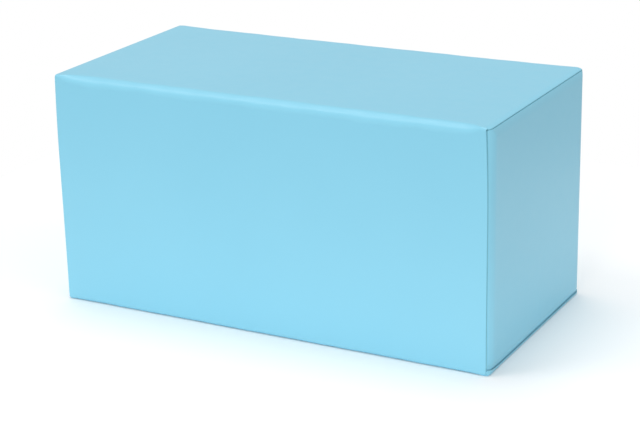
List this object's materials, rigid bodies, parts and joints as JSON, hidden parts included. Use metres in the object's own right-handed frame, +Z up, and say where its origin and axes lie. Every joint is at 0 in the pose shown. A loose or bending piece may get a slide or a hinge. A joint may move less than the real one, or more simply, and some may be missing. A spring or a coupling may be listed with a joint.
{
  "type": "soft play foam block",
  "caption": "Oblong foam block in a sewn, light blue coated-cloth cover, twice as long as it is deep and high, for building, sitting or climbing on.",
  "frame": {"origin": "middle of the flat base, on the surface that the block stands on", "axes": "+X along the length to the right-hand end panel, +Y from the front to the back, +Z up"},
  "size_m": [0.6, 0.3, 0.3],
  "materials": {
    "vinyl": "satin",
    "foam": "matte"
  },
  "bodies": {
    "root": {"foam_core": "foam", "cover_wrap": "vinyl", "end_panel_left": "vinyl", "end_panel_right": "vinyl"}
  },
  "joints": []
}
